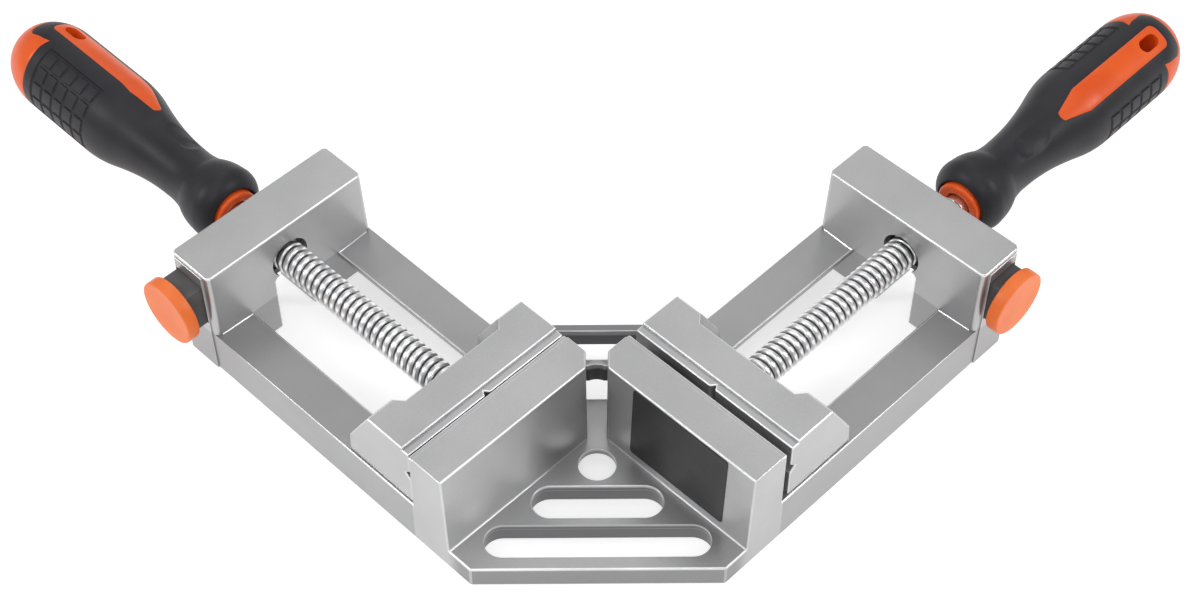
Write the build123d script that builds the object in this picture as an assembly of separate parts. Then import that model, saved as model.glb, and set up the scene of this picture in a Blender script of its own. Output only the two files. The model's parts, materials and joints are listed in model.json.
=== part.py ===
from build123d import *
import os
from math import cos, pi, radians, sin, sqrt

os.makedirs("parts", exist_ok=True)

# The arm frame: u runs outward from the fixed clamping face, v runs along the jaws away
# from the corner, z is up. The left arm is this frame turned a quarter turn about z and
# the right arm is its mirror image. The two clamping faces meet at the origin.

# Fixed jaws, one casting with the plate, the rails and the bridges
jaw_near = 15.3
jaw_far = 85.0
jaw_top = 46.0
jaw_top_thickness = 15.1
jaw_foot_thickness = 16.4
jaw_ledge_width = 1.7
jaw_ledge_depth = 0.5
slit_half = 3.6
casting_wall = 3.0
cell_start = 8.5

# Plate
plate_top = 9.0
plate_skin = 2.8
plate_side = 26.4
plate_back = 9.55
hole_radius = 6.45
hole_distance = 37.3
slot_half_width = 6.25
inner_slot_distance = 52.4
inner_slot_half_length = 21.8
outer_slot_distance = 67.8
outer_slot_half_length = 37.3
slot_step = 0.8
boss_wall = 2.6
rib_thickness = 2.4
rib_pitch = 22.0

# Rails: a flat flange on an outer wall
rail_top = 19.2
flange_thickness = 2.5
rail_width = 15.5
rail_near = 14.9

# Bars that tie the two inner rails together, as distances behind the corner
bar_far = (11.7, 15.05)
bar_far_bottom = 11.7
bar_near = (-3.4, -0.35)
bar_near_bottom = 10.6
bar_relief_radius = 5.7

# Bridge that holds the screw
bridge_face = 98.9
bridge_depth = 19.4
bridge_top = 49.2
bridge_near_top = 16.3
bridge_pad = 0.5
bridge_pad_start = 3.3
bridge_corner = 2.0
arch_near = 43.2
arch_far = 58.2
arch_top = 27.9
leg_bottom = 2.1
screw_hole_radius = 7.7

# Screw
screw_v = 50.7
screw_z = 33.5
screw_radius = 6.0
screw_thread_end = 124.3
shank_radius = 4.7
tang_radius = 4.0
tang_flat = 3.2
tang_length = 42.0
tang_inset = 4.0
journal_radius = 4.0
journal_start = 5.0
groove_radius = 2.9
groove_centre = 10.6
running_clearance = 0.06

# Retaining pins and thrust washer
pin_radius = 1.5
pin_side_clearance = 0.1
pin_top = 40.0
washer_thickness = 1.5
washer_radius = 6.8

# Moving jaw
moving_near = 15.1
moving_far = 84.2
moving_top = 45.9
moving_ledge_width = 2.95
moving_ledge_depth = 1.2
moving_middle = 16.4
moving_shoulder = 19.6
shoulder_length = 11.2
shoulder_slope = 2.6
gusset_back = 30.8
gusset_knee_u = 30.1
gusset_knee_z = 27.8
notch_v = 49.5
notch_half_width = 1.25
notch_depth = 1.7
groove_z = 33.5
groove_half_height = 2.2
groove_depth = 2.2
sliding_clearance = 0.05
flange_clearance = 0.1
window_clearance = 0.3

# Keeper plate and its screws
keeper_start = 3.0
keeper_width = 13.0
keeper_thickness = 3.0
keeper_reach = 10.5
keeper_screw_spacing = 23.0
keeper_screw_radius = 2.0
keeper_screw_length = 13.0
keeper_head_radius = 3.5
keeper_head_height = 2.4
screw_fit = 0.02

# Release block, button and spring
pocket_start = 3.7
release_width = 13.2
release_height = 18.4
release_clearance = 0.2
release_z = 33.5
release_inner_reach = 12.0
release_travel = 5.3
release_engaged = 6.7
half_nut_radius = 6.1
pocket_end = 22.0
button_radius = 12.2
button_thickness = 4.7
button_tang_radius = 4.5
button_tang_length = 3.0
spring_radius = 4.6
spring_wire = 0.6
spring_turns = 5
spring_steps = 12

# Handle, measured from the front of its neck
handle_start = 126.7
handle_mouth = (9.55, 0.5)
handle_collar_side = (12.8, 4.6)
handle_collar = (14.4, 11.9)
handle_collar_back = (13.6, 16.2)
handle_crease = (11.8, 20.1)
handle_waist = (11.55, 25.0)
handle_throat = (12.75, 46.0)
handle_shoulder = (15.0, 56.5)
handle_belly = (16.7, 67.4)
handle_length = 122.6
dome_start = handle_length - 19.6
dome_side = (13.5, handle_length - 7.7)
grip_thickness = 2.6
grip_end = handle_length - 19.6
finger_half_width = 10.4
finger_end = handle_length - 6.1
finger_corner = 5.0
dome_notch_width = 3.4
dome_notch_depth = 0.8
dome_notch_half_length = 2.8
strip_half_width = 5.2
strip_tip = 48.6
strip_tip_half_width = 1.6
strip_tip_rise = 0.6
strip_shoulder = 60.8
strip_end = handle_length - 14.6
strip_corner = 2.2
hang_hole = (handle_length - 26.4, handle_length - 18.6)
hang_hole_half_width = 2.3
seam_turn = 55.0
neck_ring_radius = 8.1
neck_ring_bore = 5.7
neck_recess_radius = 9.0
neck_recess_depth = 2.6

# How each side stands in its rest pose
left_gap = 0.7
right_gap = 3.4
left_exposure = 6.7
right_exposure = 3.9
left_roll = 120.0
right_roll = 66.5


def span(u, v, z):
    centre = ((u[0] + u[1]) / 2, (v[0] + v[1]) / 2, (z[0] + z[1]) / 2)
    return Pos(*centre) * Box(u[1] - u[0], v[1] - v[0], z[1] - z[0])


def along_u(points, u):
    face = make_face(Polyline([(u[0], v, z) for v, z in points], close=True))
    return extrude(face, amount=u[1] - u[0], dir=(1, 0, 0))


def along_v(points, v):
    face = make_face(Polyline([(u, v[0], z) for u, z in points], close=True))
    return extrude(face, amount=v[1] - v[0], dir=(0, 1, 0))


def along_z(points, z):
    face = make_face(Polyline([(x, y, z[0]) for x, y in points], close=True))
    return extrude(face, amount=z[1] - z[0], dir=(0, 0, 1))


def rod_u(radius, u, v=screw_v, z=screw_z):
    plane = Plane(origin=(u[0], v, z), x_dir=(0, 1, 0), z_dir=(1, 0, 0))
    return extrude(plane * Circle(radius), amount=u[1] - u[0])


def rod_z(radius, u, v, z):
    return Pos(u, v, z[0]) * extrude(Circle(radius), amount=z[1] - z[0])


def left(shape):
    return Rot(0, 0, 90) * shape


def right(shape):
    return mirror(shape, about=Plane.XZ)


# The diagonal frame: x runs along the slots and y away from the plate's front edge
def diagonal(shape):
    return Rot(0, 0, -45) * shape


# Fixed jaw
def fixed_jaw():
    body = along_v(
        [
            (0, 0),
            (0, jaw_top),
            (-jaw_top_thickness, jaw_top),
            (-jaw_foot_thickness, plate_top),
            (-jaw_foot_thickness, 0),
        ],
        (jaw_near, jaw_far),
    )
    body -= span((-jaw_ledge_width, 1), (jaw_near - 1, jaw_far + 1), (jaw_top - jaw_ledge_depth, jaw_top + 1))
    corner = slit_half * sqrt(2)
    far = 1.6 * jaw_foot_thickness
    near = 0.75 * jaw_near
    body -= along_z([(-far, corner + far), (corner - near, near), (-far, near)], (-1, jaw_top + 1))
    start = jaw_near + cell_start
    cells = 3
    pitch = (jaw_far - casting_wall - start + rib_thickness) / cells
    for i in range(cells):
        v = start + i * pitch
        body -= span(
            (-jaw_top_thickness + casting_wall, -casting_wall),
            (v, v + pitch - rib_thickness),
            (-1, jaw_top - casting_wall),
        )
    return body


# Rails, from the fixed jaw into the bridge
def rails():
    end = bridge_face + bridge_depth / 2
    flange = (rail_top - flange_thickness, rail_top)
    near = span((0, end), (rail_near, rail_near + casting_wall), (0, rail_top))
    near += span((0, end), (rail_near, rail_near + rail_width), flange)
    far = span((0, end), (jaw_far - casting_wall, jaw_far), (0, rail_top))
    far += span((0, end), (jaw_far - rail_width, jaw_far), flange)
    return near + far


# Bridge over the end of the rails, hollow below and bored for the screw and the release block
def bridge():
    face = bridge_face
    back = bridge_face + bridge_depth
    outline = [
        (rail_near, 0),
        (rail_near, rail_top),
        (bridge_near_top, bridge_top),
        (jaw_far, bridge_top),
        (jaw_far, 0),
    ]
    body = along_u(outline, (face, back))
    upright = [e for e in body.edges() if e.bounding_box().size.Z > rail_top / 4]
    body = fillet(upright, bridge_corner)
    body = fillet(body.edges().group_by(Axis.Z)[-1], 0.8)
    pad_end = back - bridge_corner
    body += span((face + bridge_pad_start, pad_end), (jaw_far - 1, jaw_far + bridge_pad), (0, bridge_top - 1.2))
    body -= along_u(
        [
            (arch_near, -1),
            (arch_near, arch_top - 1.5),
            (arch_near + 1.5, arch_top),
            (arch_far - 1.5, arch_top),
            (arch_far, arch_top - 1.5),
            (arch_far, -1),
        ],
        (face - 1, back + 1),
    )
    body -= rod_u(screw_hole_radius, (face - 1, back + 1))
    half_height = release_height / 2 + release_clearance
    pocket = (face + pocket_start, face + pocket_start + release_width + 2 * release_clearance)
    body -= span(pocket, (pocket_end, jaw_far + bridge_pad + 1), (release_z - half_height, release_z + half_height))
    core_top = release_z - half_height - casting_wall
    core = (face + casting_wall, back - casting_wall)
    body -= span(core, (rail_near + casting_wall, arch_near - casting_wall), (-1, core_top))
    body -= span(core, (arch_far + casting_wall, jaw_far - casting_wall), (-1, core_top))
    body -= span((face - 1, back + 1), (rail_near + casting_wall, jaw_far - casting_wall), (-1, leg_bottom))
    return body


def link_bars():
    reach = rail_near * sqrt(2) + casting_wall / 2
    far = along_z(
        [
            (-bar_far[0] - reach, bar_far[0]),
            (bar_far[0] + reach, bar_far[0]),
            (bar_far[1] + reach, bar_far[1]),
            (-bar_far[1] - reach, bar_far[1]),
        ],
        (bar_far_bottom, rail_top),
    )
    near = along_z(
        [
            (-bar_near[0] - reach, bar_near[0]),
            (bar_near[0] + reach, bar_near[0]),
            (bar_near[1] + reach, bar_near[1]),
            (-bar_near[1] - reach, bar_near[1]),
        ],
        (bar_near_bottom, rail_top),
    )
    centre = bar_near[0] + 0.6 - bar_relief_radius
    near -= rod_z(bar_relief_radius, 0, centre, (0, rail_top + 1))
    return diagonal(far + near)


# Plate between the fixed jaws, with its underside cored between ribs
def slot(distance, half_length, half_width, z):
    return Pos(0, -distance, z[0]) * extrude(SlotOverall(2 * half_length, 2 * half_width), amount=z[1] - z[0])


def plate():
    back = plate_back * sqrt(2)
    skin_bottom = plate_top - plate_skin
    corners = [
        (0, -jaw_far),
        (-plate_side, -jaw_far),
        (-jaw_far, -plate_side),
        (-jaw_far, 0),
        (-rail_near, 0),
        (-rail_near, rail_near - back),
        (rail_near - back, -rail_near),
        (0, -rail_near),
    ]
    body = along_z(corners, (0, plate_top))

    # Underside cells, in the diagonal frame
    y_front = casting_wall - (jaw_far + plate_side) / sqrt(2)
    edge = (jaw_far - casting_wall) * sqrt(2)
    foot = jaw_foot_thickness * sqrt(2)
    y_back = -hole_distance + rib_thickness
    x_back = -y_back - foot
    x_side = edge + y_front
    y_side = -(edge + foot) / 2
    cells = along_z(
        [
            (-x_side, y_front),
            (x_side, y_front),
            (-y_side - foot, y_side),
            (x_back, y_back),
            (-x_back, y_back),
            (y_side + foot, y_side),
        ],
        (-1, skin_bottom),
    )
    keep = rod_z(hole_radius + boss_wall, 0, -hole_distance, (-1, skin_bottom))
    for distance, half_length in (
        (inner_slot_distance, inner_slot_half_length),
        (outer_slot_distance, outer_slot_half_length),
    ):
        grown = slot_step + boss_wall
        keep += slot(distance, half_length + grown, slot_half_width + grown, (-1, skin_bottom))
    for x in (-rib_pitch, 0.0, rib_pitch):
        keep += span((x - rib_thickness / 2, x + rib_thickness / 2), (2 * y_front, 0), (-1, skin_bottom))
    cells -= keep
    tools = cells
    tools += rod_z(hole_radius, 0, -hole_distance, (-1, plate_top + 1))
    for distance, half_length in (
        (inner_slot_distance, inner_slot_half_length),
        (outer_slot_distance, outer_slot_half_length),
    ):
        tools += slot(distance, half_length, slot_half_width, (-1, plate_top + 1))
        tools += slot(distance, half_length + slot_step, slot_half_width + slot_step, (-1, skin_bottom))
    return body - diagonal(tools)


def frame_casting():
    arm = fixed_jaw() + rails() + bridge()
    return left(arm) + right(arm) + link_bars() + plate()


# Moving jaw, drawn closed against the fixed jaw
def moving_jaw():
    sole = rail_top + sliding_clearance
    near = moving_near
    far = moving_far
    slope = shoulder_length + shoulder_slope
    plan = [
        (0, near),
        (0, far),
        (moving_shoulder, far),
        (moving_shoulder, far - shoulder_length),
        (moving_middle, far - slope),
        (moving_middle, near + slope),
        (moving_shoulder, near + shoulder_length),
        (moving_shoulder, near),
    ]
    body = along_z(plan, (sole, moving_top))
    gusset = [
        (moving_middle, sole),
        (gusset_back, sole),
        (gusset_knee_u, gusset_knee_z),
        (moving_shoulder, moving_top),
        (moving_middle, moving_top),
    ]
    body += along_v(gusset, (near, near + shoulder_length))
    body += along_v(gusset, (far - shoulder_length, far))
    body -= span((-1, moving_ledge_width), (near - 1, far + 1), (moving_top - moving_ledge_depth, moving_top + 1))
    body -= along_z(
        [(-1, notch_v - 2), (notch_depth, notch_v), (-1, notch_v + 2)],
        (sole - 1, moving_top + 1),
    )
    body -= along_v(
        [(-0.01, groove_z - groove_half_height), (groove_depth, groove_z), (-0.01, groove_z + groove_half_height)],
        (near - 1, far + 1),
    )

    # Hollow ends, then the tongue that drops between the rails
    window = (rail_near + rail_width, jaw_far - rail_width)
    for v in ((near + casting_wall, window[0] - 1), (window[1] + 1, far - casting_wall)):
        body -= span((casting_wall, moving_middle), v, (sole - 1, moving_top - moving_ledge_depth - casting_wall))
    tongue_bottom = rail_top - flange_thickness - flange_clearance
    tongue = (window[0] + window_clearance, window[1] - window_clearance)
    body += span((keeper_start, keeper_start + keeper_width), tongue, (tongue_bottom, sole))

    # Journal bore, pin holes and keeper screw holes
    body -= rod_u(journal_radius + running_clearance, (journal_start - 0.4, moving_middle + 1))
    for v in pin_places():
        body -= rod_z(pin_radius + screw_fit, groove_centre, v, (tongue_bottom - 1, pin_top))
    for v in keeper_screw_places():
        top = tongue_bottom + keeper_screw_length
        body -= rod_z(keeper_screw_radius + screw_fit, keeper_start + keeper_width / 2, v, (tongue_bottom - 1, top))
    return body


def pin_places():
    offset = groove_radius + pin_radius + running_clearance
    return [screw_v - offset, screw_v + offset]


def keeper_screw_places():
    return [screw_v - keeper_screw_spacing / 2, screw_v + keeper_screw_spacing / 2]


def keeper_plate():
    top = rail_top - flange_thickness - flange_clearance
    near = rail_near + rail_width - keeper_reach
    far = jaw_far - rail_width + keeper_reach
    outline = fillet(Rectangle(keeper_width, far - near).vertices(), 2.0)
    middle = keeper_start + keeper_width / 2
    body = Pos(middle, (near + far) / 2, top - keeper_thickness) * extrude(outline, amount=keeper_thickness)
    for v in keeper_screw_places():
        body -= rod_z(keeper_screw_radius + 0.2, middle, v, (0, rail_top))
    return body


def keeper_screws():
    top = rail_top - flange_thickness - flange_clearance
    middle = keeper_start + keeper_width / 2
    seat = top - keeper_thickness
    screws = []
    for v in keeper_screw_places():
        screw = rod_z(keeper_screw_radius, middle, v, (seat - 0.01, top + keeper_screw_length - 1))
        screw += rod_z(keeper_head_radius, middle, v, (seat - keeper_head_height, seat))
        screws.append(screw)
    return Compound(screws)


def retaining_pins():
    bottom = rail_top - flange_thickness - flange_clearance + 0.2
    return Compound([rod_z(pin_radius, groove_centre, v, (bottom, pin_top - 0.2)) for v in pin_places()])


# Screw, with its grooved journal in front and the tang for the handle behind
def screw_shoulder():
    return moving_middle + 2 * sliding_clearance + washer_thickness


def screw_profile():
    half = pin_radius + pin_side_clearance
    shoulder = screw_shoulder()
    tang_start = handle_start + tang_inset
    return [
        (journal_start, 0),
        (journal_start, journal_radius - 0.6),
        (journal_start + 0.6, journal_radius),
        (groove_centre - half, journal_radius),
        (groove_centre - half, groove_radius),
        (groove_centre + half, groove_radius),
        (groove_centre + half, journal_radius),
        (shoulder, journal_radius),
        (shoulder, screw_radius - 0.8),
        (shoulder + 0.8, screw_radius),
        (screw_thread_end - 1.2, screw_radius),
        (screw_thread_end, shank_radius),
        (tang_start, shank_radius),
        (tang_start, tang_radius),
        (tang_start + tang_length, tang_radius),
        (tang_start + tang_length, 0),
    ]


def spindle(roll):
    points = [(u, screw_v + r, screw_z) for u, r in screw_profile()]
    face = make_face(Polyline(points, close=True))
    body = revolve(face, Axis((0, screw_v, screw_z), (1, 0, 0)), 360)
    return body - on_arm(Pos(0, 0, tang_inset) * tang_flats(0), roll)


# The two flats of the tang, in the handle's own frame from the tang's start outward
def tang_flats(clearance):
    flats = None
    for side in (-1, 1):
        y = side * (tang_flat + clearance + screw_radius)
        flat = Pos(0, y, tang_length) * Box(4 * screw_radius, 2 * screw_radius, 2 * tang_length)
        flats = flat if flats is None else flats + flat
    return flats


def thrust_washer():
    start = moving_middle + sliding_clearance
    body = rod_u(washer_radius, (start, start + washer_thickness))
    return body - rod_u(journal_radius + 0.1, (start - 1, start + washer_thickness + 1))


# Release block: a window round the screw whose inner end is half a nut
def release_middle():
    return bridge_face + pocket_start + release_clearance + release_width / 2


def release_block(exposure):
    middle = release_middle()
    shift = exposure - release_engaged
    outer = jaw_far + bridge_pad + exposure
    inner = screw_v - release_inner_reach + shift
    width = (middle - release_width / 2, middle + release_width / 2)
    height = (release_z - release_height / 2, release_z + release_height / 2)
    body = span(width, (inner, outer), height)
    edges = body.edges().filter_by(Axis.Y)
    body = fillet(edges, 0.8)
    nut = screw_v + shift
    body -= rod_u(half_nut_radius, (width[0] - 1, width[1] + 1), nut)
    window_end = nut + half_nut_radius + release_travel + 0.3
    body -= span(
        (width[0] - 1, width[1] + 1), (nut, window_end), (screw_z - half_nut_radius, screw_z + half_nut_radius)
    )
    plane = Plane(origin=(middle, outer, release_z), x_dir=(1, 0, 0), z_dir=(0, 1, 0))
    return body + extrude(plane * Circle(button_tang_radius), amount=button_tang_length)


def release_button(exposure):
    outer = jaw_far + bridge_pad + exposure
    plane = Plane(origin=(release_middle(), outer, release_z), x_dir=(1, 0, 0), z_dir=(0, 1, 0))
    body = extrude(plane * Circle(button_radius), amount=button_thickness)
    body = chamfer(body.edges(), 0.5)
    return body - extrude(plane * Circle(button_tang_radius + screw_fit), amount=button_tang_length + 0.1)


def release_spring(exposure):
    start = pocket_end
    end = screw_v - release_inner_reach + exposure - release_engaged
    length = end - start - 2 * spring_wire
    steps = spring_turns * spring_steps
    path = []
    for i in range(steps + 1):
        turn = 2 * pi * i / spring_steps
        path.append((spring_radius * cos(turn), spring_radius * sin(turn), length * i / steps))
    line = Polyline(path)
    section = Plane(origin=line @ 0, z_dir=line % 0) * RegularPolygon(spring_wire, 6)
    coil = sweep(section, path=line, transition=Transition.RIGHT)
    plane = Plane(origin=(release_middle(), start + spring_wire, release_z), x_dir=(1, 0, 0), z_dir=(0, 1, 0))
    return plane * coil


# Handle, drawn along its own z axis from the neck, with the inlaid strips facing +x and -x
def turned(points):
    return Rot(0, 0, seam_turn) * revolve(make_face(Polyline(points, close=True)), Axis.Z, 360)


# The smooth outline is drawn with arcs, then walked in short straight steps
def handle_outline(offset):
    def inside(point):
        return (point[0] - offset, 0, point[1])

    mouth = inside(handle_mouth)
    collar = inside(handle_collar)
    crease = inside(handle_crease)
    waist = inside(handle_waist)
    belly = inside(handle_belly)
    widest = (belly[0], 0, dome_start)
    side = (dome_side[0] - 0.87 * offset, 0, dome_side[1] - 0.5 * offset)
    tip = (0, 0, handle_length - offset)
    throat = TangentArc(waist, inside(handle_throat), tangent=(0, 0, 1))
    shoulder = TangentArc(throat @ 1, inside(handle_shoulder), tangent=throat % 1)
    chest = TangentArc(shoulder @ 1, belly, tangent=shoulder % 1)
    dome = TangentArc(widest, side, tangent=(0, 0, 1))
    crown = TangentArc(dome @ 1, tip, tangent=dome % 1)
    walk = [
        (ThreePointArc(mouth, inside(handle_collar_side), collar), 4),
        (ThreePointArc(collar, inside(handle_collar_back), crease), 3),
        (Line(crease, waist), 1),
        (throat, 3),
        (shoulder, 2),
        (chest, 2),
        (Line(belly, widest), 1),
        (dome, 3),
        (crown, 5),
    ]
    points = []
    for edge, steps in walk:
        for i in range(steps):
            point = edge @ (i / steps)
            points.append((point.X, 0, point.Z))
    return points + [tip, (0, 0, mouth[2])]


def handle_body(offset):
    return turned(handle_outline(offset))


def across(points):
    reach = 2 * handle_belly[0]
    face = make_face(Polyline([(-reach, y, s) for y, s in points], close=True))
    return extrude(face, amount=2 * reach, dir=(1, 0, 0))


def strip_tool():
    half = strip_half_width
    points = [
        (-strip_tip_half_width, strip_tip + strip_tip_rise),
        (0, strip_tip),
        (strip_tip_half_width, strip_tip + strip_tip_rise),
        (half, strip_shoulder),
        (half, strip_end - strip_corner),
        (half - strip_corner, strip_end),
        (strip_corner - half, strip_end),
        (-half, strip_end - strip_corner),
        (-half, strip_shoulder),
    ]
    return across(points)


def finger_tool():
    half = finger_half_width
    cut = finger_corner
    blunt = 0.3 * finger_corner
    points = [
        (-half, grip_end - blunt),
        (half, grip_end - blunt),
        (half, finger_end - cut),
        (half - blunt, finger_end - blunt),
        (half - cut, finger_end),
        (cut - half, finger_end),
        (blunt - half, finger_end - blunt),
        (-half, finger_end - cut),
    ]
    return across(points)


def notch_tool():
    tool = None
    for side in (-1, 1):
        inner = side * (finger_half_width - dome_notch_depth)
        outer = side * (finger_half_width + dome_notch_width)
        near = grip_end - dome_notch_half_length
        far = grip_end + dome_notch_half_length
        piece = across([(inner, near), (outer, grip_end), (inner, far)])
        tool = piece if tool is None else tool + piece
    return tool


def handle_grip():
    shell = handle_body(0) - handle_body(grip_thickness)
    wide = 2 * handle_belly[0]
    far = 1.2 * handle_length
    outside = turned([(0, 0, grip_end), (wide, 0, grip_end), (wide, 0, far), (0, 0, far)])
    outside -= finger_tool()
    shell -= outside
    shell -= strip_tool()
    shell -= notch_tool()
    first = handle_mouth[1]
    shell -= Pos(0, 0, first - 1) * extrude(Circle(neck_recess_radius), amount=neck_recess_depth + 1)
    return shell


def handle_core():
    core = handle_body(0) - handle_grip()
    first = handle_mouth[1]
    recess = Pos(0, 0, first - 1) * extrude(Circle(neck_recess_radius + 4), amount=neck_recess_depth + 1)
    core -= recess
    core += extrude(Circle(neck_ring_radius), amount=neck_recess_depth + first + 1)
    core -= Pos(0, 0, -1) * extrude(Circle(neck_ring_bore), amount=tang_inset + 1)
    socket = extrude(Circle(tang_radius + screw_fit), amount=tang_length + 2)
    core -= Pos(0, 0, tang_inset) * (socket - Pos(0, 0, -tang_length / 2) * tang_flats(screw_fit))
    middle = (hang_hole[0] + hang_hole[1]) / 2
    wide = 2 * handle_belly[0]
    plane = Plane(origin=(-wide, 0, middle), x_dir=(0, 0, 1), z_dir=(1, 0, 0))
    core -= extrude(plane * SlotOverall(hang_hole[1] - hang_hole[0], 2 * hang_hole_half_width), amount=2 * wide)
    return core


def on_arm(shape, roll):
    turn = radians(roll)
    seat = Plane(origin=(handle_start, screw_v, screw_z), x_dir=(0, cos(turn), sin(turn)), z_dir=(1, 0, 0))
    return seat * shape


# One side's moving parts, in the arm frame
def side_parts(gap, exposure, roll):
    shift = Pos(gap, 0, 0)
    return {
        "moving_jaw": shift * moving_jaw(),
        "jaw_keeper_plate": shift * keeper_plate(),
        "jaw_keeper_screws": shift * keeper_screws(),
        "spindle": shift * spindle(roll),
        "spindle_retaining_pins": shift * retaining_pins(),
        "thrust_washer": shift * thrust_washer(),
        "handle_core": shift * on_arm(handle_core(), roll),
        "handle_grip": shift * on_arm(handle_grip(), roll),
        "release_block": release_block(exposure),
        "release_button": release_button(exposure),
        "release_spring": release_spring(exposure),
    }


export_step(frame_casting(), "parts/frame_casting.step")
for name, shape in side_parts(left_gap, left_exposure, left_roll).items():
    export_step(left(shape), f"parts/left_{name}.step")
for name, shape in side_parts(right_gap, right_exposure, right_roll).items():
    export_step(right(shape), f"parts/right_{name}.step")
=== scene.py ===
import json
from cmath import phase, rect
from math import acos, asin, cos, degrees, hypot, pi, radians, sin, sqrt, tan

import bmesh
import bpy
from mathutils import Matrix, Vector

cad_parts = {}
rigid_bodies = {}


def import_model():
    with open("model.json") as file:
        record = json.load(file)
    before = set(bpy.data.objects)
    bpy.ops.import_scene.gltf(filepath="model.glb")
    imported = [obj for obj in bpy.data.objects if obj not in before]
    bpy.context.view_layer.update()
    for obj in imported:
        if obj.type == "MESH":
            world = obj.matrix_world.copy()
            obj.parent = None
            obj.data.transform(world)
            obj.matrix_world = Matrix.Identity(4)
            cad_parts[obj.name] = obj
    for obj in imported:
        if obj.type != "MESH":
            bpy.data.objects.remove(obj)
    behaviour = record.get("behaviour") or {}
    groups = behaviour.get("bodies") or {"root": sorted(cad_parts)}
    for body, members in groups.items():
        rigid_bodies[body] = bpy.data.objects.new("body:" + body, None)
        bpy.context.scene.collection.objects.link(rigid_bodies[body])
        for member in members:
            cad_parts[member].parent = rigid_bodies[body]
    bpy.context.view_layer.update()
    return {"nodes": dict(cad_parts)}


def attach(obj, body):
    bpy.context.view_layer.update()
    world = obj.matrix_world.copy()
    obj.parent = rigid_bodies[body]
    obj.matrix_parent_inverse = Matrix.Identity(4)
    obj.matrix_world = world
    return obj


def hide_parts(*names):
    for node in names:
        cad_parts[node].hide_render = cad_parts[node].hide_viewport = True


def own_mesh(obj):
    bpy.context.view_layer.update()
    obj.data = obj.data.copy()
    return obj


for spare in list(bpy.data.objects):
    bpy.data.objects.remove(spare)

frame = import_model()
print("frame loaded")

# where the photographer stood
camera = {
    "place": (-0.34123, -0.33705, 0.62926),
    "right": (0.701655, -0.712517, 0.000798),
    "up": (0.548811, 0.541158, 0.637146),
    "lens": 68.07,
    "sensor": 36.0,
    "clip": (0.01, 20.0),
}


def makeCamera():
    lens = bpy.data.cameras.new("camera")
    lens.lens = camera["lens"]
    lens.sensor_width = camera["sensor"]
    lens.clip_start, lens.clip_end = camera["clip"]
    eye = bpy.data.objects.new("camera", lens)
    right, up = Vector(camera["right"]), Vector(camera["up"])
    back = right.cross(up)
    turn = Matrix((right, up, back)).transposed()
    eye.matrix_world = Matrix.Translation(camera["place"]) @ turn.to_4x4()
    bpy.context.scene.collection.objects.link(eye)
    bpy.context.scene.camera = eye


makeCamera()
print("camera placed")

# the two arms: u runs outward along the screw, v along the jaw, z up, all in millimetres
milli = 0.001
arms = {
    "left": {
        "gap": 0.7, "exposure": 6.7, "press": 5.3, "pressAxis": (1, 0, 0), "roll": 120.0, "hand": 1,
        "turn": ((0, -1, 0), (1, 0, 0), (0, 0, 1)),
    },
    "right": {
        "gap": 3.4, "exposure": 3.9, "press": 2.8, "pressAxis": (0, 1, 0), "roll": 66.5, "hand": -1,
        "turn": ((1, 0, 0), (0, -1, 0), (0, 0, 1)),
    },
}
screwLine = {"v": 50.7, "z": 33.5}
hair = 1e-5  # how near a cutting plane a point counts as on it


def armPlace(side, outward=0.0):
    turn = Matrix(arms[side]["turn"]).to_4x4()
    return turn @ Matrix.Scale(milli, 4) @ Matrix.Translation((outward, 0, 0))


class Signal:
    # one output of a shader node, which can be added, multiplied and so on
    def __init__(self, tree, socket):
        self.tree = tree
        self.socket = socket

    def node(self, kind, settings=None, feeds=None, output=0):
        made = self.tree.nodes.new(kind)
        for key, value in (settings or {}).items():
            setattr(made, key, value)
        for key, value in (feeds or {}).items():
            self.feed(made.inputs[key], value)
        return Signal(self.tree, made.outputs[output])

    def feed(self, target, value):
        if isinstance(value, Signal):
            self.tree.links.new(value.socket, target)
        else:
            target.default_value = value

    def math(self, operation, *terms):
        return self.node("ShaderNodeMath", {"operation": operation}, dict(enumerate(terms)))

    def __add__(self, other):
        return self.math("ADD", self, other)

    def __radd__(self, other):
        return self.math("ADD", other, self)

    def __sub__(self, other):
        return self.math("SUBTRACT", self, other)

    def __rsub__(self, other):
        return self.math("SUBTRACT", other, self)

    def __mul__(self, other):
        return self.math("MULTIPLY", self, other)

    def __rmul__(self, other):
        return self.math("MULTIPLY", other, self)

    def most(self, other):
        return self.math("MAXIMUM", self, other)

    def least(self, other):
        return self.math("MINIMUM", self, other)

    def root(self):
        return self.math("SQRT", self)

    def axes(self):
        return [self.node("ShaderNodeSeparateXYZ", None, {"Vector": self}, output=i) for i in range(3)]

    def rise(self, low, high):
        # 0 below low, 1 above high, smooth between
        feeds = {"Value": self, "From Min": low, "From Max": high}
        return self.node("ShaderNodeMapRange", {"interpolation_type": "SMOOTHSTEP"}, feeds)

    def noise(self, scale, detail=2.0, roughness=0.5):
        feeds = {"Vector": self, "Scale": scale, "Detail": detail, "Roughness": roughness}
        return self.node("ShaderNodeTexNoise", None, feeds)

    def blend(self, low, high):
        # mixes two colours by this signal
        low = low if isinstance(low, Signal) else (*low, 1.0)
        high = high if isinstance(high, Signal) else (*high, 1.0)
        return self.node("ShaderNodeMix", {"data_type": "RGBA"}, {"Factor": self, 6: low, 7: high}, output=2)

    def bump(self, strength, distance):
        return self.node("ShaderNodeBump", None, {"Height": self, "Strength": strength, "Distance": distance})


def newFinish(name, constants):
    finish = bpy.data.materials.new(name)
    finish.use_nodes = True
    tree = finish.node_tree
    for key, value in constants.items():
        tree.nodes["Principled BSDF"].inputs[key].default_value = value
    return finish, Signal(tree, tree.nodes.new("ShaderNodeTexCoord").outputs["Object"])


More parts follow.
